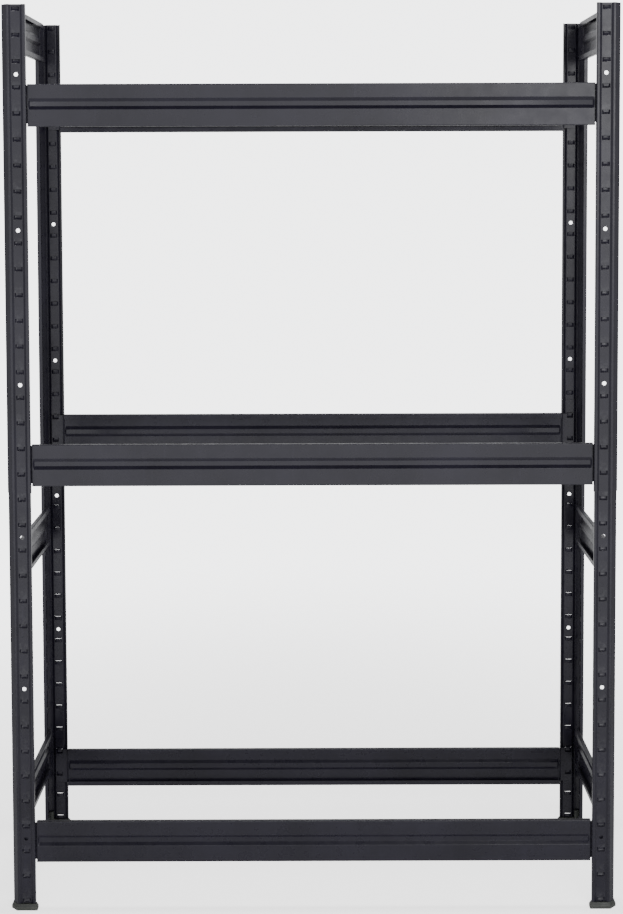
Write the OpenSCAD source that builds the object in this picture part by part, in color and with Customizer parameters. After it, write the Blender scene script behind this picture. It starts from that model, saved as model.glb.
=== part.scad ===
// Three-tier tyre storage rack: L-shaped slotted posts in two nested halves, lipped C beams that hook in,
// and moulded feet. Millimetres, +Z up, origin on the floor under the middle of the rack.

/* [Overall] */
// Width over the posts
rack_w = 1190; // [800:5:1600]
// Depth over the posts
rack_d = 400; // [300:5:600]
// Thickness of all sheet steel
sheet_t = 1.0; // [0.8:0.1:1.5]

/* [Posts] */
// Width of each post flange
flange_w = 47; // [40:1:60]
// Bevel across the outer corner of the post
corner_bevel = 11; // [6:1:14]
// Flat land between the bevel and the recessed strip
land_w = 4; // [2:0.5:8]
// Width of the sloped sides of the strip
slope_w = 4.25; // [3:0.25:6]
// Width of the recessed slotted strip
strip_w = 18; // [14:1:24]
// Depth of the recessed strip
strip_recess = 3; // [2:0.5:4]
// Inward return along the free edge
return_w = 8; // [5:1:8]
// Length over which the two halves of a post nest
nest_l = 122; // [100:2:150]
// Spacing of the hook slots
slot_pitch = 50; // [50:5:60]
// Number of slots up the whole post
slot_count = 36; // [30:1:40]
// Height of the lowest slot's centre
first_slot_z = 17; // [17:1:30]
// Slots between one bolt hole and the next
slots_per_hole = 6; // [3:1:9]
// Diameter of the bolt holes
bolt_hole_d = 8; // [6:0.5:10]
// Air between the nested post halves
nest_gap = 0.05; // [0.05:0.05:0.3]

/* [Hook pockets] */
// Clear width of a pocket
pocket_w = 15.6; // [12:0.2:15.6]
// Height of the pocket's window
window_h = 8.5; // [8:0.5:12]
// Height of the pocket's rim above its window
pocket_rim = 0.6; // [0.4:0.1:0.8]

/* [Beams] */
// Height of a beam's web
beam_h = 82; // [70:1:100]
// Inward width of the beam's flanges
beam_flange = 10; // [8:1:20]
// Height of the beam's lips
beam_lip = 10; // [6:1:14]
// How far the web stands behind the post's face
beam_setback = 9; // [9:0.5:12]
// Depth of the pressed groove
groove_depth = 4.2; // [2:0.2:6]
// Where the groove starts below the beam's top
groove_from_top = 27.3; // [20:0.1:40]
// Flat bottom of the groove
groove_flat = 8.8; // [6:0.2:14]
// Sloped sides of the groove
groove_slope = 6.5; // [4:0.5:9]
// Plain length between the groove and the beam's end
groove_stop = 2; // [2:1:12]
// Beam top above the centre of its upper slot
top_above_slot = 7; // [7:0.5:9]
// Air between a beam's end and the post
end_gap = 1; // [0.5:0.5:3]

/* [Levels] */
// Slots from the post's top to the upper hooks of the top front and back beams
top_down = 3; // [1:1:6]
// Slots from the lowest one to the upper hooks of the middle front and back beams
middle_up = 18; // [12:1:22]
// The same for the bottom front and back beams
bottom_up = 3; // [2:1:8]
// Slots from the post's top to the upper hooks of the top side beams
side_top_down = 0; // [0:1:4]
// Slots from the lowest one to the upper hooks of the middle side beams
side_middle_up = 14; // [11:1:20]
// The same for the bottom side beams
side_bottom_up = 4; // [2:1:7]

/* [Feet] */
// Thickness of the foot's sole
sole_h = 6; // [4:1:8]
// Height of the foot's bevelled skirt above the sole
skirt_h = 6; // [4:1:6]
// How far the sole stands out around the post
foot_overhang = 3; // [2:0.5:6]
// Height of the plug inside the post's corner
plug_h = 24; // [10:1:40]

/* [Hidden] */
$fn = 24;
eps = 0.1;
STEEL = [0.15, 0.15, 0.17];
STEEL_BEAM = [0.20, 0.20, 0.22];
PLASTIC = [0.07, 0.07, 0.07];

post_bottom_z = sole_h;
post_top_z = slot_z(slot_count - 1) + 9;
post_half_l = (post_top_z - post_bottom_z + nest_l) / 2;
upper_bottom_z = post_top_z - post_half_l;
lower_top_z = post_bottom_z + post_half_l;
nest_inset = sheet_t + nest_gap;
slot_u = corner_bevel + land_w + slope_w + strip_w / 2;
holes_up = floor(slot_count / slots_per_hole);

// The hook's tongue fits the outer and the nested strip, and the pocket leaves it room.
tongue_gap = 0.15;
tongue_in = strip_recess + nest_inset + sheet_t + tongue_gap;
tongue_width = pocket_w - 2;
pocket_depth = tongue_in + sheet_t + 2 * tongue_gap - strip_recess;
leg_z = window_h / 2 + pocket_rim + 0.25;
tongue_drop = window_h / 2 - pocket_depth - 0.15;
lance_h = 10;
plate_inset = slot_u - strip_w / 2 + 1;
plate_trim = 6;

function slot_z(i) = first_slot_z + slot_pitch * i;
function hole_z(k) = first_slot_z + slot_pitch * (2.5 + slots_per_hole * k);
function unit(v) = v / norm(v);
function side_of(a, b) = let (d = unit(b - a)) [d.y, -d.x];
function reversed(p) = [for (i = [len(p) - 1:-1:0]) p[i]];

// A bent line moved sideways by d, with mitred corners.
function shifted(p, d) = [
  for (i = [0:len(p) - 1])
    let (
      last = len(p) - 1,
      before = side_of(p[max(i - 1, 0)], p[max(i, 1)]),
      after = side_of(p[min(i, last - 1)], p[min(i + 1, last)]),
      mitre = unit(before + after)
    )
    p[i] + mitre * d / (mitre * before)
];

// The cross-section of a bent sheet whose outer face follows the line p.
function sheet(p, inset = 0) = concat(shifted(p, inset), reversed(shifted(p, inset + sheet_t)));

// One flange of the post, from its free edge to the bevel, as seen from above.
FLANGE_LINE = let (
  strip_start = corner_bevel + land_w + slope_w,
  strip_end = strip_start + strip_w
) [
  [flange_w, return_w],
  [flange_w, 0],
  [strip_end + slope_w, 0],
  [strip_end, strip_recess],
  [strip_start, strip_recess],
  [strip_start - slope_w, 0],
  [corner_bevel, 0]
];
POST_LINE = concat(FLANGE_LINE, reversed([for (p = FLANGE_LINE) [p.y, p.x]]));

// The beam's outer face from its bottom lip up to its top lip, as depth and height below the top.
GROOVE_TOP = -groove_from_top;
GROOVE_BOTTOM = GROOVE_TOP - 2 * groove_slope - groove_flat;
function beam_line(groove) = concat(
  [
    [beam_setback + beam_flange, beam_lip - beam_h],
    [beam_setback + beam_flange, -beam_h],
    [beam_setback, -beam_h]
  ],
  groove ? groove_line(0) : [],
  [
    [beam_setback, 0],
    [beam_setback + beam_flange, 0],
    [beam_setback + beam_flange, -beam_lip]
  ]
);
function groove_line(extra) = [
  [beam_setback, GROOVE_BOTTOM],
  [beam_setback + groove_depth + extra, GROOVE_BOTTOM + groove_slope],
  [beam_setback + groove_depth + extra, GROOVE_TOP - groove_slope],
  [beam_setback, GROOVE_TOP]
];

// Extrudes a depth-and-height section along X, centred on x = 0.
module along_x(length) {
  rotate([90, 0, 90])
    linear_extrude(height = length, center = true)
      children();
}

// Runs its children for the flange along X and again for the flange along Y.
module both_flanges() {
  children();
  mirror([1, -1, 0])
    children();
}

// Pocket walls: the ramp and the back, in depth and height about the slot's centre.
function pocket_line(face) = [
  [face, -window_h / 2],
  [face + pocket_depth, pocket_depth - window_h / 2],
  [face + pocket_depth, window_h / 2 + pocket_rim]
];

module pocket_body(face) {
  line = shifted(pocket_line(face), sheet_t);
  mid_sheet = face + sheet_t / 2;
  along_x(pocket_w + 2 * sheet_t)
    polygon(concat([[mid_sheet, line[2].y], [mid_sheet, -window_h / 2 - 0.4]], line));
}

// The window in the strip and the channel down behind it.
module pocket_room(face) {
  line = pocket_line(face);
  top = window_h / 2;
  along_x(pocket_w)
    polygon([
      [face - eps, -top],
      line[0],
      line[1],
      line[2] + [0, eps],
      [face + sheet_t, line[2].y + eps],
      [face + sheet_t, top],
      [face - eps, top]
    ]);
}

// Plain window in the inner half, which the outer half's pocket and the hook pass through.
module clear_window(face) {
  below = window_h / 2 + sheet_t + 0.35;
  above = leg_z + sheet_t + 0.7;
  translate([-pocket_w / 2 - sheet_t - 0.25, face - 2, -below])
    cube([pocket_w + 2 * sheet_t + 0.5, 4, below + above]);
}

module bolt_hole(face) {
  translate([0, -eps, 0])
    rotate([-90, 0, 0])
      cylinder(d = bolt_hole_d, h = face + 3);
}

// One half of a post. Its flanges run along +X and +Y from the outer corner.
module post_half(z0, inset, pockets, windows, holes) {
  face = strip_recess + inset;
  difference() {
    union() {
      translate([0, 0, z0])
        linear_extrude(height = post_half_l)
          polygon(sheet(POST_LINE, inset));
      both_flanges()
        for (i = pockets)
          translate([slot_u, 0, slot_z(i)])
            pocket_body(face);
    }
    both_flanges() {
      for (i = pockets)
        translate([slot_u, 0, slot_z(i)])
          pocket_room(face);
      for (i = windows)
        translate([slot_u, 0, slot_z(i)])
          clear_window(face);
      for (k = holes)
        translate([slot_u, 0, hole_z(k)])
          bolt_hole(face);
    }
  }
}

// The upper half goes outside. Where it nests, the lower half has plain windows in place of pockets.
all_slots = [0:slot_count - 1];
all_holes = [0:holes_up - 1];
upper_slots = [for (i = all_slots) if (slot_z(i) > upper_bottom_z + window_h) i];
lower_slots = [for (i = all_slots) if (slot_z(i) < upper_bottom_z) i];
nested_slots = [for (i = upper_slots) if (slot_z(i) < lower_top_z) i];
upper_holes = [for (k = all_holes) if (hole_z(k) > upper_bottom_z) k];
lower_holes = [for (k = all_holes) if (hole_z(k) < upper_bottom_z) k];

module post_upper() {
  color(STEEL)
    post_half(upper_bottom_z, 0, upper_slots, [], upper_holes);
}

module post_lower() {
  color(STEEL)
    post_half(post_bottom_z, nest_inset, lower_slots, nested_slots, lower_holes);
}

// A pressed tab that leaves the end plate, crosses to the strip and drops into a pocket.
module hook_tab() {
  back = beam_setback + sheet_t;
  along_x(tongue_width)
    polygon([
      [back, leg_z + sheet_t],
      [tongue_in, leg_z + sheet_t],
      [tongue_in, -tongue_drop],
      [tongue_in + sheet_t, -tongue_drop],
      [tongue_in + sheet_t, leg_z],
      [back, leg_z]
    ]);
}

// The opening that the tab leaves in the end plate.
module lance_hole() {
  translate([0, beam_setback + sheet_t / 2, leg_z - lance_h / 2])
    cube([tongue_width, 2 * sheet_t, lance_h], center = true);
}

// The web carried on behind the post's edge, from the beam's body outwards.
module end_plate(length) {
  translate([-eps, beam_setback, plate_trim - beam_h])
    cube([length + eps, sheet_t, beam_h - plate_trim]);
}

// The plain end of the beam's body, with the wall that closes the groove.
module body_end(length) {
  translate([length / 2, 0, 0])
    along_x(length)
      polygon(sheet(beam_line(false)));
  translate([sheet_t / 2 - eps, 0, 0])
    along_x(sheet_t)
      polygon(groove_line(sheet_t));
}

// A beam along X that spans between two post planes, its top at z = 0 and its face towards -Y.
module beam(span) {
  body_end_x = span / 2 - flange_w - end_gap;
  groove_end_x = body_end_x - groove_stop;
  hooks = [-top_above_slot, -top_above_slot - slot_pitch];
  along_x(2 * groove_end_x)
    polygon(sheet(beam_line(true)));
  for (s = [0, 1])
    mirror([s, 0, 0])
      difference() {
        union() {
          translate([groove_end_x, 0, 0])
            body_end(groove_stop);
          translate([body_end_x, 0, 0])
            end_plate(span / 2 - plate_inset - body_end_x);
          for (z = hooks)
            translate([span / 2 - slot_u, 0, z])
              hook_tab();
        }
        for (z = hooks)
          translate([span / 2 - slot_u, 0, z])
            lance_hole();
      }
}

module long_beam(slot, turn = 0) {
  color(STEEL_BEAM)
    rotate([0, 0, turn])
      translate([0, -rack_d / 2, slot_z(slot) + top_above_slot])
        beam(rack_w);
}

module side_beam(slot, s) {
  color(STEEL_BEAM)
    translate([s * rack_w / 2, 0, slot_z(slot) + top_above_slot])
      rotate([0, 0, s * 90])
        beam(rack_d);
}

// The outline of one leg of the foot, grown by g beyond the post's outer planes.
function foot_leg(g, inner) = let (c = corner_bevel - g * (sqrt(2) - 1)) [
  [c, -g],
  [flange_w + g, -g],
  [flange_w + g, inner],
  [-g, inner],
  [-g, c]
];

// A bent line made longer by d at both ends.
function lengthened(p, d) = let (n = len(p) - 1) [
  for (i = [0:n])
    i == 0 ? p[0] + unit(p[0] - p[1]) * d :
    i == n ? p[n] + unit(p[n] - p[n - 1]) * d :
    p[i]
];

// The groove in the foot that the lower half of the post stands in.
module post_groove() {
  gap = 0.05;
  line = lengthened(POST_LINE, gap);
  linear_extrude(height = skirt_h + eps)
    polygon(concat(
      shifted(line, nest_inset - gap),
      reversed(shifted(line, nest_inset + sheet_t + gap))
    ));
}

// The plug that fits behind the post's bevel.
module foot_plug() {
  near = nest_inset + sheet_t + 0.55;
  far = corner_bevel + 2.5;
  translate([0, 0, sole_h - eps])
    linear_extrude(height = plug_h)
      polygon([[far, near], [far, far], [near, far]]);
}

module foot() {
  inner = return_w + foot_overhang + 1;
  skirt_tip = -0.4;
  color(PLASTIC)
    difference() {
      union() {
        both_flanges()
          hull() {
            linear_extrude(height = sole_h)
              polygon(foot_leg(foot_overhang, inner));
            linear_extrude(height = sole_h + skirt_h)
              polygon(foot_leg(skirt_tip, inner - 2));
          }
        foot_plug();
      }
      translate([0, 0, sole_h])
        post_groove();
    }
}

// Places a post part at one corner; its children are drawn for the front left.
module at_corner(x, y) {
  translate([x * rack_w / 2, y * rack_d / 2, 0])
    mirror([x > 0 ? 1 : 0, 0, 0])
      mirror([0, y > 0 ? 1 : 0, 0])
        children();
}

module front_left_post_upper() { at_corner(-1, -1) post_upper(); }
module front_left_post_lower() { at_corner(-1, -1) post_lower(); }
module front_right_post_upper() { at_corner(1, -1) post_upper(); }
module front_right_post_lower() { at_corner(1, -1) post_lower(); }
module back_left_post_upper() { at_corner(-1, 1) post_upper(); }
module back_left_post_lower() { at_corner(-1, 1) post_lower(); }
module back_right_post_upper() { at_corner(1, 1) post_upper(); }
module back_right_post_lower() { at_corner(1, 1) post_lower(); }
module front_left_foot() { at_corner(-1, -1) foot(); }
module front_right_foot() { at_corner(1, -1) foot(); }
module back_left_foot() { at_corner(-1, 1) foot(); }
module back_right_foot() { at_corner(1, 1) foot(); }
module front_top_beam() { long_beam(slot_count - 1 - top_down); }
module front_middle_beam() { long_beam(middle_up); }
module front_bottom_beam() { long_beam(bottom_up); }
module back_top_beam() { long_beam(slot_count - 1 - top_down, 180); }
module back_middle_beam() { long_beam(middle_up, 180); }
module back_bottom_beam() { long_beam(bottom_up, 180); }
module left_top_side_beam() { side_beam(slot_count - 1 - side_top_down, -1); }
module left_middle_side_beam() { side_beam(side_middle_up, -1); }
module left_bottom_side_beam() { side_beam(side_bottom_up, -1); }
module right_top_side_beam() { side_beam(slot_count - 1 - side_top_down, 1); }
module right_middle_side_beam() { side_beam(side_middle_up, 1); }
module right_bottom_side_beam() { side_beam(side_bottom_up, 1); }

front_left_post_upper();
front_left_post_lower();
front_right_post_upper();
front_right_post_lower();
back_left_post_upper();
back_left_post_lower();
back_right_post_upper();
back_right_post_lower();
front_left_foot();
front_right_foot();
back_left_foot();
back_right_foot();
front_top_beam();
front_middle_beam();
front_bottom_beam();
back_top_beam();
back_middle_beam();
back_bottom_beam();
left_top_side_beam();
left_middle_side_beam();
left_bottom_side_beam();
right_top_side_beam();
right_middle_side_beam();
right_bottom_side_beam();
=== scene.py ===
"""Looks of a three-tier tyre storage rack.

Slotted posts in nested halves, grooved beams that hook in, and moulded feet.
"""

import math

import bmesh
import bpy
from mathutils import Matrix, Vector


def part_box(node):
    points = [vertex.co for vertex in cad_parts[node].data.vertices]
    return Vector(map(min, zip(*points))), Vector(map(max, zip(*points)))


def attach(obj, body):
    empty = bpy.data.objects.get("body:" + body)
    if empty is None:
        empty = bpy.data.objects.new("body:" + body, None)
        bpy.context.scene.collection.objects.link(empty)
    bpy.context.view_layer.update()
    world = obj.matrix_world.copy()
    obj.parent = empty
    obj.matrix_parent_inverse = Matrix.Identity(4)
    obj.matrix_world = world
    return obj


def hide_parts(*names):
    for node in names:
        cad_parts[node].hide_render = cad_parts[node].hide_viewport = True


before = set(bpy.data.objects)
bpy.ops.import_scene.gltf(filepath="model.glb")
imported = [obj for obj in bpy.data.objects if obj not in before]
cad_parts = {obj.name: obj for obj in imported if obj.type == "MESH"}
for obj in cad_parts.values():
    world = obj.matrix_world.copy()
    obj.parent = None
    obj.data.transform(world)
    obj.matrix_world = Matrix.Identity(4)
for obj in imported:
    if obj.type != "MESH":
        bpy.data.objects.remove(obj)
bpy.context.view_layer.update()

MM = 0.001
BODY = "root"

# Overall sizes, from the CAD frame.
RACK_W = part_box("front_right_post_upper")[1][0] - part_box("front_left_post_upper")[0][0]
RACK_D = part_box("back_left_post_upper")[1][1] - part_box("front_left_post_upper")[0][1]

# The bent sheet.
SHEET = 1.0 * MM
INNER_BEND = 0.6 * MM
BEND_STEPS = 3
EDGE_BAND = 0.6 * MM
LEAST_BAND = 0.25 * MM
SHARP_ANGLE = 38
TINY = 1e-7

# How worn the coat is, from 0 to 1. A cut edge is 1 on its outer side.
BEND_WEAR = 0.75
BEND_END_WEAR = 0.55
INNER_WEAR = 0.6

# The post's section, from one free edge round the bevelled corner to the other.
FLANGE_W = 47 * MM
RETURN_W = 8 * MM
BEVEL = 11 * MM
LAND = 4 * MM
SLOPE = 4.25 * MM
STRIP_W = 18 * MM
RECESS = 3 * MM
STRIP_IN = BEVEL + LAND + SLOPE
STRIP_OUT = STRIP_IN + STRIP_W
SLOT_U = STRIP_IN + STRIP_W / 2

# Slots, pockets and bolt holes, as heights above the floor.
SLOT_PITCH = 50 * MM
FIRST_SLOT = 17 * MM
SLOTS = 36
SLOTS_PER_HOLE = 6
HOLE_R = 4 * MM
HOLE_FIELD = 5.3 * MM
POCKET_HALF = 7.8 * MM
WINDOW_HALF = 4.25 * MM
POCKET_DEPTH = 4.0 * MM
POCKET_RIM = 0.6 * MM
NEST_INSET = 1.05 * MM
CLEAR_HALF = 8.7 * MM
CLEAR_BELOW = 5.6 * MM
CLEAR_ABOVE = 6.8 * MM

# The beam's section, as depth behind the post's face and height below the beam's top.
BEAM_H = 82 * MM
BEAM_SETBACK = 9 * MM
BEAM_FLANGE = 10 * MM
BEAM_LIP = 10 * MM
GROOVE_DEPTH = 4.2 * MM
GROOVE_TOP = -27.3 * MM
GROOVE_FLAT = 8.8 * MM
GROOVE_SLOPE = 6.5 * MM
GROOVE_LOW = GROOVE_TOP - 2 * GROOVE_SLOPE - GROOVE_FLAT
END_GAP = 1 * MM
GROOVE_STOP = 1 * MM
GROOVE_FADE = 4 * MM
BEAD_HALF = 2 * MM
BEAD_DEPTH = 2.2 * MM
PLATE_INSET = 20.25 * MM
PLATE_TOP = -2.2 * MM
PLATE_LOW = 6 * MM - BEAM_H
HOOKS = (-7 * MM, -57 * MM)
TAB_HALF = 5.2 * MM
TAB_FACE = 5.2 * MM
TAB_TOP = 6.1 * MM
TAB_TIP = -0.6 * MM
LANCE_HALF = 6.8 * MM
LANCE_BELOW = 4.9 * MM
LANCE_ABOVE = 4.8 * MM

# The moulded foot.
SOLE_H = 6 * MM
FOOT_H = 12 * MM
OVERHANG = 3 * MM
FOOT_INNER = 12 * MM
FOOT_EDGE = 0.5 * MM
FOOT_SHARP_ANGLE = 32
PLUG_TOP = 30 * MM
PLUG_GAP = 0.6 * MM
PLUG_REACH = 2.4 * MM
PLUG_RADIUS = 0.5 * MM


# ---------------------------------------------------------------- bent sheet


def unit(x, y):
    """A direction of length 1."""
    length = math.hypot(x, y)
    return x / length, y / length


def right_of(a, b):
    """The direction to the right of the way from a to b, which is the sheet's inner side."""
    dx, dy = unit(b[0] - a[0], b[1] - a[1])
    return dy, -dx


def moved_in(points, distance):
    """A bent line moved to its inner side, with mitred corners."""
    out = []
    last = len(points) - 1
    for i, p in enumerate(points):
        before = right_of(points[max(i - 1, 0)], points[max(i, 1)])
        after = right_of(points[min(i, last - 1)], points[min(i + 1, last)])
        mx, my = unit(before[0] + after[0], before[1] + after[1])
        reach = distance / (mx * before[0] + my * before[1])
        out.append((p[0] + mx * reach, p[1] + my * reach))
    return out


def smooth(t):
    """0 to 1 with a soft start and end."""
    t = min(max(t, 0.0), 1.0)
    return t * t * (3 - 2 * t)


class Column:
    """One sample of a bent line: its place, its way in, its wear, and where along its straight it lies."""

    def __init__(self, point, inward, wear=0.0, segment=-1, along=0.0):
        self.x, self.y = point
        self.inward = inward
        self.wear = wear
        self.segment = segment
        self.along = along


def bend_at(points, i):
    """A bend's rounding: what it takes of each straight, its centre, radius, side, turn and first way."""
    before = right_of(points[i - 1], points[i])
    after = right_of(points[i], points[i + 1])
    sine = before[0] * after[1] - before[1] * after[0]
    cosine = before[0] * after[0] + before[1] * after[1]
    turn = math.atan2(sine, cosine)
    side = 1 if turn < 0 else -1
    radius = INNER_BEND + SHEET if side > 0 else INNER_BEND
    used = radius * math.tan(abs(turn) / 2)
    mx, my = unit(before[0] + after[0], before[1] + after[1])
    reach = radius / math.cos(turn / 2) * side
    centre = (points[i][0] + mx * reach, points[i][1] + my * reach)
    return used, centre, radius, side, turn, before


def straight_stops(start, end, middle, extra):
    """Where a straight is cut: its ends, a narrow band beside each of them, and the extra places."""
    wanted = [middle + e for e in extra if start < middle + e < end]
    places = [start, end] + wanted
    for band in (start + EDGE_BAND, end - EDGE_BAND):
        if all(abs(band - p) > LEAST_BAND for p in places):
            places.append(band)
    return sorted(places)


def bent_line(points, extra):
    """Columns along a bent line with rounded bends. extra has more places on a straight, from its middle."""
    columns = []
    last = len(points) - 2
    for i in range(last + 1):
        a, b = points[i], points[i + 1]
        length = math.dist(a, b)
        dx, dy = unit(b[0] - a[0], b[1] - a[1])
        inward = right_of(a, b)
        start = bend_at(points, i)[0] if i > 0 else 0.0
        bend = bend_at(points, i + 1) if i < last else None
        end = length - (bend[0] if bend else 0.0)
        starts_outward = i > 0 and bend_at(points, i)[3] > 0
        ends_outward = bend is not None and bend[3] > 0
        for s in straight_stops(start, end, length / 2, extra.get(i, ())):
            worn = (s == start and starts_outward) or (s == end and ends_outward)
            place = (a[0] + dx * s, a[1] + dy * s)
            columns.append(Column(place, inward, BEND_END_WEAR if worn else 0.0, i, s - length / 2))
        if bend:
            _, centre, radius, side, turn, before = bend
            angle = math.atan2(before[1], before[0])
            for k in range(1, BEND_STEPS):
                at = angle + turn * k / BEND_STEPS
                way = (math.cos(at), math.sin(at))
                place = (centre[0] - way[0] * radius * side, centre[1] - way[1] * radius * side)
                columns.append(Column(place, way, BEND_WEAR if side > 0 else 0.0))
    return columns


class Shell:
    """The outer face of a bent sheet as cells. solid() gives it its thickness and its cut edges."""

    def __init__(self):
        self.index = {}
        self.outer = []
        self.inner = []
        self.wear = []
        self.cells = []

    def point(self, key, outer, inner, wear=0.0):
        if key not in self.index:
            self.index[key] = len(self.outer)
            self.outer.append(outer)
            self.inner.append(inner)
            self.wear.append(wear)
        return self.index[key]

    def solid(self):
        """(points, wear, faces) of the closed sheet."""
        n = len(self.outer)
        wear = list(self.wear)
        faces = [tuple(c) for c in self.cells]
        faces += [tuple(i + n for i in reversed(c)) for c in self.cells]
        edges = set()
        for c in self.cells:
            edges.update(zip(c, c[1:] + c[:1]))
        for a, b in edges:
            if (b, a) not in edges:
                faces.append((b, a, a + n, b + n))
                wear[a] = wear[b] = 1.0
        return self.outer + self.inner, wear + [INNER_WEAR * w for w in wear], faces


def joined(parts):
    """Several closed sheets as one list of points, wear and faces."""
    points, wear, faces = [], [], []
    for p, w, f in parts:
        base = len(points)
        points += p
        wear += w
        faces += [tuple(i + base for i in face) for face in f]
    return points, wear, faces


def make_piece(node, parts, place, material):
    """An object from joined sheets, placed by a matrix, that stands for its CAD node."""
    name = f"{node}_sheet"
    points, wear, faces = joined(parts)
    if place.determinant() < 0:
        faces = [tuple(reversed(f)) for f in faces]
    mesh = bpy.data.meshes.new(name)
    mesh.from_pydata([place @ Vector(p) for p in points], [], faces)
    mesh.validate()
    values = mesh.attributes.new("wear", "FLOAT", "POINT")
    values.data.foreach_set("value", wear)
    mesh.shade_smooth()
    mesh.set_sharp_from_angle(angle=math.radians(SHARP_ANGLE))
    mesh.materials.append(material)
    piece = bpy.data.objects.new(name, mesh)
    bpy.context.scene.collection.objects.link(piece)
    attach(piece, BODY)
    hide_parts(node)


# ---------------------------------------------------------------- posts

# The post's line as distances from its two outer faces, and the straights of it that are the slotted strips.
FLANGE_LINE = [
    (FLANGE_W, RETURN_W),
    (FLANGE_W, 0),
    (STRIP_OUT + SLOPE, 0),
    (STRIP_OUT, RECESS),
    (STRIP_IN, RECESS),
    (STRIP_IN - SLOPE, 0),
    (BEVEL, 0),
]
POST_LINE = FLANGE_LINE + [(y, x) for x, y in reversed(FLANGE_LINE)]
STRIPS = (3, 9)

# Where the grid is cut: across a strip from its middle, and up a pocket from its middle, in millimetres.
HALF_STOPS = [1.8 * MM, 3.6 * MM, 5.2 * MM, 6.4 * MM, 7.2 * MM, POCKET_HALF, CLEAR_HALF]
STRIP_STOPS = [-s for s in reversed(HALF_STOPS)] + [0.0] + HALF_STOPS
HOLE_STOPS = [s for s in STRIP_STOPS if abs(s) < HOLE_FIELD]
POCKET_ROWS = [-4.25, -4.17, -3.95, -3.6, -3.1, -2.4, -1.5, -0.4, 0.9, 2.4, 4.25]


def pocket_depth(along, height):
    """How far a round pocket stands back from the strip, at a height from the slot's middle."""
    across = 1 - min(abs(along) / POCKET_HALF, 1.0) ** 5
    left = 1 - (height + WINDOW_HALF) / (2 * WINDOW_HALF)
    return POCKET_DEPTH * across * math.sqrt(max(0.0, 1 - left * left))


def sheet_point(column, z, depth=0.0):
    """(outer, inner) points of the post's sheet at a column, pushed in by depth."""
    ix, iy = column.inward
    outer = (column.x + ix * depth, column.y + iy * depth, z)
    inner = (column.x + ix * (depth + SHEET), column.y + iy * (depth + SHEET), z)
    return outer, inner


def inside(value, low, high):
    """Whether a value lies between two others or on one of them."""
    return low - TINY < value < high + TINY


class Post(Shell):
    """One half of a post, its outer corner on the Z axis and its flanges along +X and +Y."""

    def __init__(self, low, high, inset, pockets, windows, holes):
        super().__init__()
        self.pockets = pockets
        self.windows = windows
        self.holes = holes
        self.columns = bent_line(moved_in(POST_LINE, inset), {s: STRIP_STOPS for s in STRIPS})
        rows = {low, low + EDGE_BAND, high - EDGE_BAND, high}
        for z in pockets:
            rows.update(z + r * MM for r in POCKET_ROWS)
        for z in windows:
            rows.update((z - CLEAR_BELOW, z + CLEAR_ABOVE))
        for z in holes:
            rows.update(z + s for s in HOLE_STOPS)
        self.rows = sorted(rows)
        for k in range(len(self.rows) - 1):
            for j in range(len(self.columns) - 1):
                self.add_cell(j, k)
        for strip in STRIPS:
            for z in holes:
                self.add_round_hole(strip, z)

    def plain(self, j, k):
        column = self.columns[j]
        return self.point((j, k), *sheet_point(column, self.rows[k]), column.wear)

    def pressed(self, j, k, z):
        """A point of the pocket's wall. At its sides and its foot it is the strip's own point."""
        column, height = self.columns[j], self.rows[k] - z
        if abs(column.along) > POCKET_HALF - 1e-6 or height < -WINDOW_HALF + 1e-6:
            return self.plain(j, k)
        depth = pocket_depth(column.along, height)
        rise = POCKET_RIM * (height + WINDOW_HALF) / (2 * WINDOW_HALF) * depth / POCKET_DEPTH
        return self.point((j, k, "pocket"), *sheet_point(column, self.rows[k] + rise, depth))

    def add_cell(self, j, k):
        a, b = self.columns[j], self.columns[j + 1]
        along = (a.along + b.along) / 2
        height = (self.rows[k] + self.rows[k + 1]) / 2
        on_strip = a.segment == b.segment and a.segment in STRIPS
        corners = ((j, k), (j, k + 1), (j + 1, k + 1), (j + 1, k))
        if on_strip:
            if abs(along) < HOLE_STOPS[-1]:
                if any(inside(height, z + HOLE_STOPS[0], z + HOLE_STOPS[-1]) for z in self.holes):
                    return
            if abs(along) < CLEAR_HALF:
                if any(inside(height, z - CLEAR_BELOW, z + CLEAR_ABOVE) for z in self.windows):
                    return
            if abs(along) < POCKET_HALF:
                for z in self.pockets:
                    if inside(height, z - WINDOW_HALF, z + WINDOW_HALF):
                        self.cells.append([self.pressed(jj, kk, z) for jj, kk in corners])
                        return
        self.cells.append([self.plain(jj, kk) for jj, kk in corners])

    def add_round_hole(self, strip, z):
        """Cells between a square of the grid and the round hole in it."""
        js = [j for j, c in enumerate(self.columns) if c.segment == strip and abs(c.along) < HOLE_FIELD]
        ks = [k for k, r in enumerate(self.rows) if inside(r, z + HOLE_STOPS[0], z + HOLE_STOPS[-1])]
        ring = [(j, ks[0]) for j in js[:-1]]
        ring += [(js[-1], k) for k in ks[:-1]]
        ring += [(j, ks[-1]) for j in reversed(js[1:])]
        ring += [(js[0], k) for k in reversed(ks[1:])]
        middle = next(c for c in self.columns if c.segment == strip and abs(c.along) < TINY)
        far = self.columns[js[-1]]
        dx, dy = unit(far.x - middle.x, far.y - middle.y)
        square, circle = [], []
        for j, k in ring:
            angle = math.atan2(self.rows[k] - z, self.columns[j].along)
            u, v = HOLE_R * math.cos(angle), HOLE_R * math.sin(angle)
            at = Column((middle.x + dx * u, middle.y + dy * u), middle.inward)
            square.append(self.plain(j, k))
            circle.append(self.point((strip, z, j, k), *sheet_point(at, z + v)))
        for i in range(len(ring)):
            n = (i + 1) % len(ring)
            self.cells.append([square[i], circle[i], circle[n], square[n]])


def at_corner(x, y):
    """Places a post or foot at a corner of the rack. x and y are -1 or 1."""
    flip = Matrix.Diagonal((-x, -y, 1, 1))
    return Matrix.Translation((x * RACK_W / 2, y * RACK_D / 2, 0)) @ flip


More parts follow.
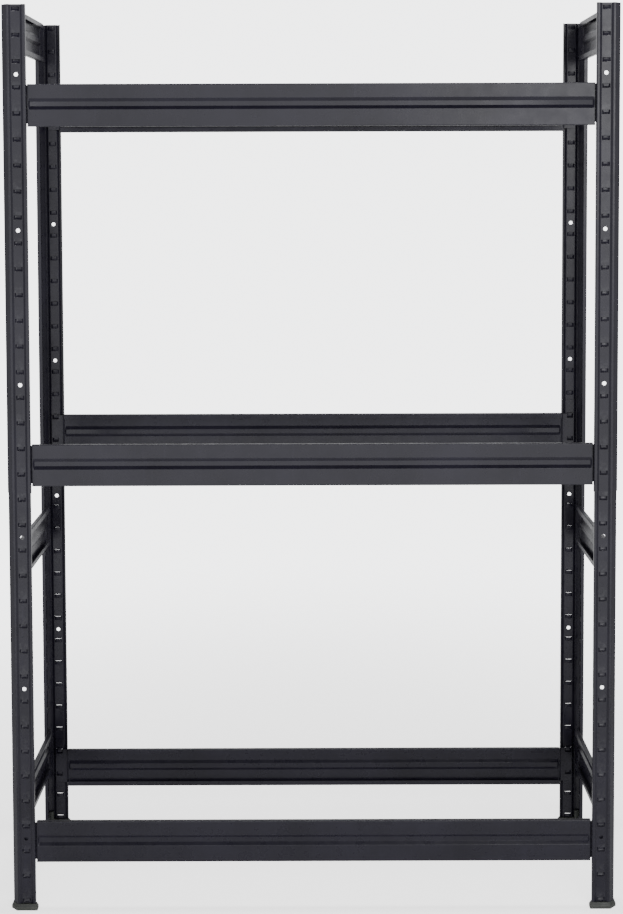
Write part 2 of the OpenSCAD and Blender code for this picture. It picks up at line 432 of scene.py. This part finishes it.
def build_posts(material):
    """Four posts, each an upper half over a lower one, whose windows clear the upper half's pockets."""
    slots = [FIRST_SLOT + SLOT_PITCH * i for i in range(SLOTS)]
    bolts = [FIRST_SLOT + SLOT_PITCH * (2.5 + SLOTS_PER_HOLE * k) for k in range(SLOTS // SLOTS_PER_HOLE)]
    low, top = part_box("front_left_post_lower"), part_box("front_left_post_upper")
    split, nest_top = top[0][2], low[1][2]
    upper = Post(
        split,
        top[1][2],
        0.0,
        [z for z in slots if z > split + 2 * WINDOW_HALF],
        [],
        [z for z in bolts if z > split],
    )
    lower = Post(
        low[0][2],
        nest_top,
        NEST_INSET,
        [z for z in slots if z < split],
        [z for z in slots if split < z < nest_top],
        [z for z in bolts if z < split],
    )
    for depth_name, y in (("front", -1), ("back", 1)):
        for side_name, x in (("left", -1), ("right", 1)):
            for half_name, half in (("upper", upper), ("lower", lower)):
                node = f"{depth_name}_{side_name}_post_{half_name}"
                make_piece(node, [half.solid()], at_corner(x, y), material)


# ---------------------------------------------------------------- beams

# The beam's line from its lower lip to its upper one, and the straights of it that are the web's flats.
BEAM_LINE = [
    (BEAM_SETBACK + BEAM_FLANGE, BEAM_LIP - BEAM_H),
    (BEAM_SETBACK + BEAM_FLANGE, -BEAM_H),
    (BEAM_SETBACK, -BEAM_H),
    (BEAM_SETBACK, GROOVE_LOW),
    (BEAM_SETBACK + GROOVE_DEPTH, GROOVE_LOW + GROOVE_SLOPE),
    (BEAM_SETBACK + GROOVE_DEPTH, GROOVE_TOP - GROOVE_SLOPE),
    (BEAM_SETBACK, GROOVE_TOP),
    (BEAM_SETBACK, 0),
    (BEAM_SETBACK + BEAM_FLANGE, 0),
    (BEAM_SETBACK + BEAM_FLANGE, -BEAM_LIP),
]
WEB_LOW = 2
WEB_HIGH = 6
TAB_LINE = [
    (TAB_FACE, TAB_TIP),
    (TAB_FACE, TAB_TOP),
    (BEAM_SETBACK + SHEET / 2, TAB_TOP),
]


def web_stops():
    """More places across the web: the end plate's edges and the openings that the tabs leave."""
    low_middle = (GROOVE_LOW - BEAM_H) / 2
    high_middle = GROOVE_TOP / 2
    upper, lower = HOOKS
    low = [PLATE_LOW, lower - LANCE_BELOW, lower + LANCE_ABOVE]
    high = [upper - LANCE_BELOW, PLATE_TOP]
    return {WEB_LOW: [z - low_middle for z in low], WEB_HIGH: [z - high_middle for z in high]}


class Beam(Shell):
    """A beam along X between two post planes, its top at z = 0 and its face towards -Y."""

    def __init__(self, span):
        super().__init__()
        self.body_end = span / 2 - FLANGE_W - END_GAP
        self.tab_x = span / 2 - SLOT_U
        self.columns = bent_line(BEAM_LINE, web_stops())
        plate_end = span / 2 - PLATE_INSET
        fade_start = self.body_end - GROOVE_STOP - GROOVE_FADE
        half = [fade_start + GROOVE_FADE * i / 6 for i in range(7)]
        half += [self.body_end, self.tab_x - LANCE_HALF, self.tab_x + LANCE_HALF]
        half += [self.body_end + BEAD_HALF * (0.7 + i / 3) for i in range(-3, 4) if i != -2]
        half += [plate_end - EDGE_BAND, plate_end]
        half += [fade_start * i / 4 for i in range(1, 4)]
        self.rows = sorted([-x for x in half] + [0.0] + half)
        self.fade_start = fade_start
        for k in range(len(self.rows) - 1):
            for j in range(len(self.columns) - 1):
                self.add_cell(j, k)

    def in_plate(self, column):
        """Whether the end plate carries on at this column."""
        flat = column.x < BEAM_SETBACK + GROOVE_DEPTH + 0.1 * MM
        return flat and inside(column.y, PLATE_LOW, PLATE_TOP)

    def place(self, j, k):
        """A point of the sheet. The groove fades out towards the ends, and a bead sets the end plate off."""
        column, x = self.columns[j], self.rows[k]
        w, (iw, iz) = column.x, column.inward
        if self.in_plate(column) and inside(column.y, GROOVE_LOW - MM, GROOVE_TOP + MM):
            left = 1 - smooth((abs(x) - self.fade_start) / GROOVE_FADE)
            w = BEAM_SETBACK + (w - BEAM_SETBACK) * left
            iw, iz = unit(1 - (1 - iw) * left, iz * left)
        if self.in_plate(column):
            off = (abs(x) - self.body_end) / BEAD_HALF - 0.7
            w += BEAD_DEPTH * max(0.0, 1 - off * off)
        outer = (x, w, column.y)
        inner = (x, w + iw * SHEET, column.y + iz * SHEET)
        return self.point((j, k), outer, inner, column.wear)

    def add_cell(self, j, k):
        a, b = self.columns[j], self.columns[j + 1]
        x = abs(self.rows[k] + self.rows[k + 1]) / 2
        z = (a.y + b.y) / 2
        if x > self.body_end:
            if not (self.in_plate(a) and self.in_plate(b)):
                return
            if abs(x - self.tab_x) < LANCE_HALF:
                if any(h - LANCE_BELOW < z < h + LANCE_ABOVE for h in HOOKS):
                    return
        corners = ((j, k), (j, k + 1), (j + 1, k + 1), (j + 1, k))
        self.cells.append([self.place(jj, kk) for jj, kk in corners])


class Tab(Shell):
    """A hook tab pressed out of the end plate, its tongue narrowed towards the tip."""

    def __init__(self, x, z):
        super().__init__()
        columns = bent_line(TAB_LINE, {0: [-2 * MM, -1 * MM, 1 * MM]})
        across = [-1, -0.9, -0.5, 0, 0.5, 0.9, 1]
        for j in range(len(columns) - 1):
            for k in range(len(across) - 1):
                corners = ((j, k), (j, k + 1), (j + 1, k + 1), (j + 1, k))
                self.cells.append([self.place(columns[jj], across[kk], jj, kk, x, z) for jj, kk in corners])

    def place(self, column, side, j, k, x, z):
        narrowed = 1 - 0.3 * (1 - smooth((column.y - TAB_TIP) / (2.5 * MM))) ** 2
        u = x + TAB_HALF * side * narrowed
        iw, iz = column.inward
        outer = (u, column.x, z + column.y)
        inner = (u, column.x + iw * SHEET, z + column.y + iz * SHEET)
        return self.point((j, k), outer, inner, column.wear)


def beam_parts(span):
    """A beam's body and its four tabs as closed sheets."""
    body = Beam(span)
    tabs = [Tab(s * body.tab_x, z) for s in (-1, 1) for z in HOOKS]
    return [body.solid()] + [t.solid() for t in tabs]


def build_beams(material):
    """Three beams on each side of the rack, at the heights of the CAD's."""
    long_parts = beam_parts(RACK_W)
    side_parts = beam_parts(RACK_D)
    faces = (
        ("front", long_parts, RACK_D / 2, 0),
        ("back", long_parts, RACK_D / 2, 180),
        ("left", side_parts, RACK_W / 2, -90),
        ("right", side_parts, RACK_W / 2, 90),
    )
    for face, parts, reach, turn in faces:
        for level in ("top", "middle", "bottom"):
            kind = "beam" if face in ("front", "back") else "side_beam"
            node = f"{face}_{level}_{kind}"
            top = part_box(node)[1][2]
            place = Matrix.Rotation(math.radians(turn), 4, "Z") @ Matrix.Translation((0, -reach, top))
            make_piece(node, parts, place, material)


# ---------------------------------------------------------------- feet


def rounded_loop(corners, radius, steps=4):
    """A closed outline with each corner rounded."""
    out = []
    count = len(corners)
    for i, p in enumerate(corners):
        a, b = corners[i - 1], corners[(i + 1) % count]
        da, db = unit(a[0] - p[0], a[1] - p[1]), unit(b[0] - p[0], b[1] - p[1])
        half = math.acos(max(-1, min(1, da[0] * db[0] + da[1] * db[1]))) / 2
        r = min(radius, 1.4 * MM if half > 1.0 else radius)
        reach = r / math.tan(half)
        mx, my = unit(da[0] + db[0], da[1] + db[1])
        cx, cy = p[0] + mx * r / math.sin(half), p[1] + my * r / math.sin(half)
        start = math.atan2(p[1] + da[1] * reach - cy, p[0] + da[0] * reach - cx)
        end = math.atan2(p[1] + db[1] * reach - cy, p[0] + db[0] * reach - cx)
        sweep = (end - start + math.pi) % (2 * math.pi) - math.pi
        for k in range(steps + 1):
            angle = start + sweep * k / steps
            out.append((cx + r * math.cos(angle), cy + r * math.sin(angle)))
    return out


def foot_outline(grow, inner, radius):
    """The foot's L-shaped outline, grown beyond the post's planes, its inner side at inner from them."""
    cut = BEVEL - grow * (math.sqrt(2) - 1)
    far = FLANGE_W + grow
    corners = [
        (cut, -grow),
        (far, -grow),
        (far, inner),
        (inner, inner),
        (inner, far),
        (-grow, far),
        (-grow, cut),
    ]
    return rounded_loop(corners, radius)


# The shoe's outline from the floor up: height in mm, growth, inner side, corner radius in mm, and wear.
FOOT_RINGS = (
    (0.0, OVERHANG - FOOT_EDGE, FOOT_INNER - FOOT_EDGE, 1.0, 0.2),
    (0.15, OVERHANG - 0.15 * MM, FOOT_INNER - 0.15 * MM, 1.2, 0.8),
    (0.5, OVERHANG, FOOT_INNER, 1.3, 0.5),
    (1.1, OVERHANG, FOOT_INNER, 1.3, 0.0),
    (5.2, OVERHANG, FOOT_INNER, 1.3, 0.0),
    (5.8, OVERHANG - 0.02 * MM, FOOT_INNER, 1.3, 0.7),
    (6.3, OVERHANG - 0.22 * MM, FOOT_INNER - 0.12 * MM, 1.3, 0.7),
    (7.0, OVERHANG - 0.65 * MM, FOOT_INNER - 0.4 * MM, 1.2, 0.0),
    (11.2, 0.05 * MM, FOOT_INNER - 1.75 * MM, 0.8, 0.0),
    (11.8, -0.25 * MM, FOOT_INNER - 1.95 * MM, 0.7, 0.6),
    (12.0, -0.45 * MM, FOOT_INNER - 2.15 * MM, 0.6, 0.9),
)


def post_groove():
    """The outline of the slot in the foot that the post's sheet stands in."""
    gap = 0.05 * MM
    line = list(POST_LINE)
    for end, beside in ((0, 1), (-1, -2)):
        dx, dy = unit(line[end][0] - line[beside][0], line[end][1] - line[beside][1])
        line[end] = (line[end][0] + dx * gap, line[end][1] + dy * gap)
    outer = moved_in(line, NEST_INSET - gap)
    inner = moved_in(line, NEST_INSET + SHEET + gap)
    return outer + list(reversed(inner))


def add_skirt(bm):
    """The shoe's outer wall and sole. Returns its top ring."""
    wear = bm.verts.layers.float.new("wear")
    rings = []
    for z, grow, inner, radius, worn in FOOT_RINGS:
        ring = []
        for x, y in foot_outline(grow, inner, radius * MM):
            v = bm.verts.new((x, y, z * MM))
            v[wear] = worn
            ring.append(v)
        rings.append(ring)
    for low, high in zip(rings, rings[1:]):
        add_band(bm, low, high)
    bm.faces.new(list(reversed(rings[0])))
    return rings[-1]


def add_band(bm, low, high):
    """The faces between two rings of as many points."""
    for i in range(len(low)):
        n = (i + 1) % len(low)
        bm.faces.new((low[i], low[n], high[n], high[i]))


def add_groove(bm):
    """The slot that the post stands in. Returns the edges of its mouth."""
    high, low = [], []
    for x, y in post_groove():
        high.append(bm.verts.new((x, y, FOOT_H)))
        low.append(bm.verts.new((x, y, SOLE_H)))
    mouth = []
    for i in range(len(high)):
        n = (i + 1) % len(high)
        bm.faces.new((high[i], high[n], low[n], low[i]))
        mouth.append(bm.edges.get((high[i], high[n])))
    bm.faces.new(low)
    return mouth


def add_plug(bm):
    """A small tapered plug behind the post's bevel."""
    near, far = NEST_INSET + SHEET + PLUG_GAP, BEVEL + PLUG_REACH
    outline = rounded_loop([(far, near), (far, far), (near, far)], PLUG_RADIUS, 3)
    levels = (
        (SOLE_H + MM, 0.0),
        (PLUG_TOP - 4 * MM, 0.0),
        (PLUG_TOP - 0.4 * MM, 0.07),
        (PLUG_TOP, 0.16),
    )
    centre = (2 * far + near) / 3
    before = None
    for z, taper in levels:
        ring = []
        for x, y in outline:
            ring.append(bm.verts.new((x + (centre - x) * taper, y + (centre - y) * taper, z)))
        if before:
            add_band(bm, before, ring)
        else:
            bm.faces.new(list(reversed(ring)))
        before = ring
    bm.faces.new(before)


def foot_mesh(name, place, material):
    """A lofted shoe with a groove for the post, and the plug."""
    bm = bmesh.new()
    top = add_skirt(bm)
    rim = add_groove(bm)
    rim += [bm.edges.get((top[i], top[(i + 1) % len(top)])) for i in range(len(top))]
    bmesh.ops.triangle_fill(bm, use_beauty=True, use_dissolve=False, edges=rim)
    add_plug(bm)
    bmesh.ops.recalc_face_normals(bm, faces=bm.faces)
    bmesh.ops.transform(bm, matrix=place, verts=bm.verts)
    if place.determinant() < 0:
        bmesh.ops.reverse_faces(bm, faces=bm.faces)
    mesh = bpy.data.meshes.new(name)
    bm.to_mesh(mesh)
    bm.free()
    mesh.shade_smooth()
    mesh.set_sharp_from_angle(angle=math.radians(FOOT_SHARP_ANGLE))
    mesh.materials.append(material)
    return mesh


def build_feet(material):
    """A foot at each corner."""
    for depth_name, y in (("front", -1), ("back", 1)):
        for side_name, x in (("left", -1), ("right", 1)):
            node = f"{depth_name}_{side_name}_foot"
            name = f"{node}_shoe"
            piece = bpy.data.objects.new(name, foot_mesh(name, at_corner(x, y), material))
            bpy.context.scene.collection.objects.link(piece)
            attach(piece, BODY)
            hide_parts(node)


# ---------------------------------------------------------------- materials


class Paint:
    """A small helper to wire a material's nodes."""

    def __init__(self, name):
        self.material = bpy.data.materials.new(name)
        self.material.use_nodes = True
        self.tree = self.material.node_tree
        self.shader = self.tree.nodes["Principled BSDF"]
        self.place = self.node("ShaderNodeTexCoord").outputs["Object"]

    def node(self, kind, **settings):
        made = self.tree.nodes.new(kind)
        for key, value in settings.items():
            setattr(made, key, value)
        return made

    def link(self, a, b):
        self.tree.links.new(a, b)

    def stretched(self, scale):
        """The object's place with each axis scaled."""
        mapping = self.node("ShaderNodeMapping")
        mapping.inputs["Scale"].default_value = scale
        self.link(self.place, mapping.inputs["Vector"])
        return mapping.outputs["Vector"]

    def noise(self, scale, detail=3.0, roughness=0.5, stretch=None):
        made = self.node("ShaderNodeTexNoise")
        made.inputs["Scale"].default_value = scale
        made.inputs["Detail"].default_value = detail
        made.inputs["Roughness"].default_value = roughness
        self.link(self.stretched(stretch) if stretch else self.place, made.inputs["Vector"])
        return made.outputs["Fac"]

    def ranged(self, value, low, high, to_low=0.0, to_high=1.0):
        made = self.node("ShaderNodeMapRange")
        for key, number in (("From Min", low), ("From Max", high), ("To Min", to_low), ("To Max", to_high)):
            made.inputs[key].default_value = number
        self.link(value, made.inputs["Value"])
        return made.outputs["Result"]

    def maths(self, operation, a, b):
        made = self.node("ShaderNodeMath", operation=operation)
        for socket, value in zip(made.inputs, (a, b)):
            if isinstance(value, (int, float)):
                socket.default_value = value
            else:
                self.link(value, socket)
        return made.outputs["Value"]

    def mixed(self, factor, a, b):
        made = self.node("ShaderNodeMix", data_type="RGBA")
        self.link(factor, made.inputs[0])
        for socket, value in ((made.inputs[6], a), (made.inputs[7], b)):
            if isinstance(value, tuple):
                socket.default_value = (*value, 1.0)
            else:
                self.link(value, socket)
        return made.outputs[2]

    def bumps(self, heights):
        """Bumps on top of each other, each a height, a strength and a distance."""
        last = None
        for height, strength, distance in heights:
            made = self.node("ShaderNodeBump")
            made.inputs["Strength"].default_value = strength
            made.inputs["Distance"].default_value = distance
            self.link(height, made.inputs["Height"])
            if last:
                self.link(last, made.inputs["Normal"])
            last = made.outputs["Normal"]
        self.link(last, self.shader.inputs["Normal"])

    def upward(self):
        """How much the surface faces up."""
        normal = self.node("ShaderNodeNewGeometry").outputs["Normal"]
        parts = self.node("ShaderNodeSeparateXYZ")
        self.link(normal, parts.inputs["Vector"])
        return parts.outputs["Z"]

    def attribute(self, name):
        return self.node("ShaderNodeAttribute", attribute_name=name).outputs["Fac"]


WORN_COAT = (0.055, 0.055, 0.06)
DUST = (0.20, 0.195, 0.18)
POST_DARK = (0.0072, 0.0064, 0.0115)
POST_LIGHT = (0.0120, 0.0108, 0.0185)
BEAM_DARK = (0.0080, 0.0072, 0.0125)
BEAM_LIGHT = (0.0128, 0.0116, 0.0195)
FOOT_DARK = (0.024, 0.026, 0.023)
FOOT_LIGHT = (0.036, 0.039, 0.034)
FOOT_FLOW = (0.052, 0.056, 0.049)
FOOT_WORN = (0.095, 0.10, 0.09)


def powder_coat(name, dark, light, roughness):
    """Black powder coat on sheet steel: orange peel, uneven gloss, thin edges and a little dust."""
    p = Paint(name)
    broad = p.noise(7.0, 4.0, 0.6)
    colour = p.mixed(p.ranged(broad, 0.35, 0.65), dark, light)
    streaks = p.noise(9.0, 5.0, 0.65, (14.0, 14.0, 0.8))
    streak_mask = p.ranged(streaks, 0.58, 0.75, 0.0, 0.35)
    colour = p.mixed(streak_mask, colour, tuple(1.5 * c for c in light))
    patch = p.ranged(p.noise(160.0, 4.0, 0.7), 0.42, 0.68)
    worn = p.maths("MULTIPLY", p.ranged(p.attribute("wear"), 0.45, 1.0), patch)
    worn = p.maths("MULTIPLY", worn, 0.55)
    colour = p.mixed(worn, colour, WORN_COAT)
    flat = p.ranged(p.upward(), 0.5, 1.0)
    patchy = p.ranged(p.noise(30.0, 5.0, 0.7), 0.35, 0.75)
    dust = p.maths("MULTIPLY", flat, patchy)
    dust = p.maths("MULTIPLY", dust, 0.10)
    colour = p.mixed(dust, colour, DUST)
    p.link(colour, p.shader.inputs["Base Color"])
    cloudy = p.ranged(p.noise(38.0, 4.0, 0.6), 0.3, 0.7, roughness - 0.05, roughness + 0.06)
    rough = p.maths("ADD", cloudy, p.maths("MULTIPLY", dust, 2.0))
    p.link(rough, p.shader.inputs["Roughness"])
    p.shader.inputs["Specular IOR Level"].default_value = 0.25
    peel = p.noise(620.0, 2.0, 0.45)
    grain = p.noise(2600.0, 2.0, 0.5)
    dents = p.noise(22.0, 2.0, 0.4)
    p.bumps([(dents, 0.25, 0.0006), (peel, 0.22, 0.00012), (grain, 0.18, 0.00003)])
    return p.material


def moulded_plastic(name):
    """Dark grey-green moulded plastic with a spark-textured skin, scuffed at its corners."""
    p = Paint(name)
    broad = p.noise(40.0, 4.0, 0.6)
    colour = p.mixed(p.ranged(broad, 0.35, 0.65), FOOT_DARK, FOOT_LIGHT)
    flow = p.ranged(p.noise(60.0, 3.0, 0.6, (1.0, 1.0, 5.0)), 0.55, 0.8, 0.0, 0.4)
    colour = p.mixed(flow, colour, FOOT_FLOW)
    patch = p.ranged(p.noise(260.0, 4.0, 0.7), 0.4, 0.65)
    worn = p.maths("MULTIPLY", p.maths("MULTIPLY", p.attribute("wear"), patch), 0.6)
    colour = p.mixed(worn, colour, FOOT_WORN)
    p.link(colour, p.shader.inputs["Base Color"])
    p.link(p.ranged(p.noise(90.0, 4.0, 0.6), 0.3, 0.7, 0.46, 0.62), p.shader.inputs["Roughness"])
    spark = p.noise(1900.0, 3.0, 0.6)
    cells = p.node("ShaderNodeTexVoronoi")
    cells.inputs["Scale"].default_value = 1100.0
    p.link(p.place, cells.inputs["Vector"])
    p.bumps([(spark, 0.35, 0.00008), (cells.outputs["Distance"], 0.2, 0.00006)])
    return p.material


def studio_paper():
    """Matte pale floor that fades into the studio's light further out. It looks brighter than it lights."""
    p = Paint("studio_paper")
    colour = p.mixed(p.ranged(p.noise(1.5, 3.0, 0.5), 0.3, 0.7), (0.90, 0.90, 0.905), (0.93, 0.93, 0.93))
    p.link(colour, p.shader.inputs["Base Color"])
    p.shader.inputs["Roughness"].default_value = 0.9
    p.shader.inputs["Specular IOR Level"].default_value = 0.2
    p.shader.inputs["Emission Color"].default_value = (1.0, 1.0, 1.0, 1.0)
    seen = p.node("ShaderNodeLightPath").outputs["Is Camera Ray"]
    p.link(p.ranged(seen, 0.0, 1.0, FLOOR_GLOW, FLOOR_SEEN), p.shader.inputs["Emission Strength"])
    reach = p.node("ShaderNodeVectorMath", operation="LENGTH")
    p.link(p.place, reach.inputs[0])
    fade = p.node("ShaderNodeMapRange", interpolation_type="SMOOTHSTEP")
    fade.inputs["From Min"].default_value = FLOOR_SOLID
    fade.inputs["From Max"].default_value = FLOOR_GONE
    p.link(reach.outputs["Value"], fade.inputs["Value"])
    blend = p.node("ShaderNodeMixShader")
    p.link(fade.outputs["Result"], blend.inputs["Fac"])
    p.link(p.shader.outputs["BSDF"], blend.inputs[1])
    p.link(p.node("ShaderNodeBsdfTransparent").outputs["BSDF"], blend.inputs[2])
    p.link(blend.outputs["Shader"], p.tree.nodes["Material Output"].inputs["Surface"])
    return p.material


# ---------------------------------------------------------------- studio

# How far out the floor starts to fade and is gone, and its glow as light and as the camera sees it.
FLOOR_SOLID = 0.5
FLOOR_GONE = 2.6
FLOOR_GLOW = 0.35
FLOOR_SEEN = 1.9
FLOOR_SIDES = 64
FLOOR_RINGS = 12


def build_floor():
    """A round floor in rings, level with the feet's soles."""
    points, faces = [(0, 0, 0)], []
    around, rings = FLOOR_SIDES, FLOOR_RINGS
    for r in range(1, rings + 1):
        for k in range(around):
            angle = 2 * math.pi * k / around
            reach = (FLOOR_GONE + 1) * r / rings
            points.append((reach * math.cos(angle), reach * math.sin(angle), 0))
    for k in range(around):
        n = (k + 1) % around
        faces.append((0, 1 + k, 1 + n))
        for r in range(rings - 1):
            a, b = 1 + r * around, 1 + (r + 1) * around
            faces.append((a + k, b + k, b + n, a + n))
    mesh = bpy.data.meshes.new("floor")
    mesh.from_pydata(points, [], faces)
    mesh.materials.append(studio_paper())
    floor = bpy.data.objects.new("floor", mesh)
    bpy.context.scene.collection.objects.link(floor)


def softbox(name, place, target, width, height, power):
    """A rectangular light at place that faces target."""
    light = bpy.data.lights.new(name, "AREA")
    light.shape = "RECTANGLE"
    light.size = width
    light.size_y = height
    light.energy = power
    lamp = bpy.data.objects.new(name, light)
    lamp.location = place
    lamp.rotation_euler = (Vector(target) - Vector(place)).to_track_quat("-Z", "Y").to_euler()
    lamp.visible_camera = False
    bpy.context.scene.collection.objects.link(lamp)


# The wall's light on the rack, what the camera sees of it, and its fall to the back, sides and ceiling.
WALL_LIGHT = 2.85
WALL_SEEN = 4.2
BACK_LIGHT = 0.45
SIDE_LIGHT = 0.3
CEILING_LIGHT = 0.04
WALL_TOP = (0.26, 0.62)
SIDE_ARC = (0.4, 0.96)
BACK_ARC = (0.1, 0.9)


def build_lights():
    """A lit wall all round under a dark ceiling, a key softbox at the front right and one above."""
    world = bpy.data.worlds.new("studio")
    world.use_nodes = True
    nodes, links = world.node_tree.nodes, world.node_tree.links

    def ranged(value, settings):
        made = nodes.new("ShaderNodeMapRange")
        made.interpolation_type = "SMOOTHSTEP"
        for key, number in zip(("From Min", "From Max", "To Min", "To Max"), settings):
            made.inputs[key].default_value = number
        links.new(value, made.inputs["Value"])
        return made.outputs["Result"]

    def times(a, b):
        made = nodes.new("ShaderNodeMath")
        made.operation = "MULTIPLY"
        links.new(a, made.inputs[0])
        links.new(b, made.inputs[1])
        return made.outputs["Value"]

    parts = nodes.new("ShaderNodeSeparateXYZ")
    links.new(nodes.new("ShaderNodeTexCoord").outputs["Generated"], parts.inputs["Vector"])
    ahead = nodes.new("ShaderNodeMath")
    ahead.operation = "ABSOLUTE"
    links.new(parts.outputs["Y"], ahead.inputs[0])
    wall = ranged(parts.outputs["Z"], (*WALL_TOP, WALL_LIGHT, CEILING_LIGHT))
    sides = ranged(ahead.outputs["Value"], (*SIDE_ARC, SIDE_LIGHT, 1.0))
    back = ranged(parts.outputs["Y"], (*BACK_ARC, 1.0, BACK_LIGHT))
    lit = times(times(wall, sides), back)
    choice = nodes.new("ShaderNodeMix")
    links.new(nodes.new("ShaderNodeLightPath").outputs["Is Camera Ray"], choice.inputs[0])
    links.new(lit, choice.inputs[2])
    choice.inputs[3].default_value = WALL_SEEN
    sky = nodes["Background"]
    sky.inputs["Color"].default_value = (0.985, 0.99, 1.0, 1.0)
    links.new(choice.outputs[0], sky.inputs["Strength"])
    bpy.context.scene.world = world
    softbox("key_box", (1.7, -4.4, 2.3), (0.4, 0, 1.4), 2.0, 2.0, 70)
    softbox("top_box", (0, 0.1, 3.6), (0, 0, 1), 1.6, 0.5, 70)


# The camera as fitted to the photo's view, in metres and degrees. ROLL is in radians.
LENS = 59.05
CAMERA_X = 0.0080
CAMERA_BACK = 2.8888
CAMERA_Z = 1.4416
PITCH = 3.0
ROLL = -0.00309
SHIFT = (-0.0048, -0.2193)


def build_camera():
    camera = bpy.data.objects.new("camera", bpy.data.cameras.new("camera"))
    bpy.context.scene.collection.objects.link(camera)
    camera.data.sensor_width = 36
    camera.data.lens = LENS
    camera.data.shift_x, camera.data.shift_y = SHIFT
    turn = Matrix.Rotation(math.radians(90 - PITCH), 4, "X") @ Matrix.Rotation(ROLL, 4, "Z")
    camera.matrix_world = Matrix.Translation((CAMERA_X, -RACK_D / 2 - CAMERA_BACK, CAMERA_Z)) @ turn
    bpy.context.scene.camera = camera


post_paint = powder_coat("post_powder_coat", POST_DARK, POST_LIGHT, 0.28)
beam_paint = powder_coat("beam_powder_coat", BEAM_DARK, BEAM_LIGHT, 0.29)
build_camera()
build_posts(post_paint)
build_beams(beam_paint)
build_feet(moulded_plastic("foot_plastic_skin"))
build_floor()
build_lights()
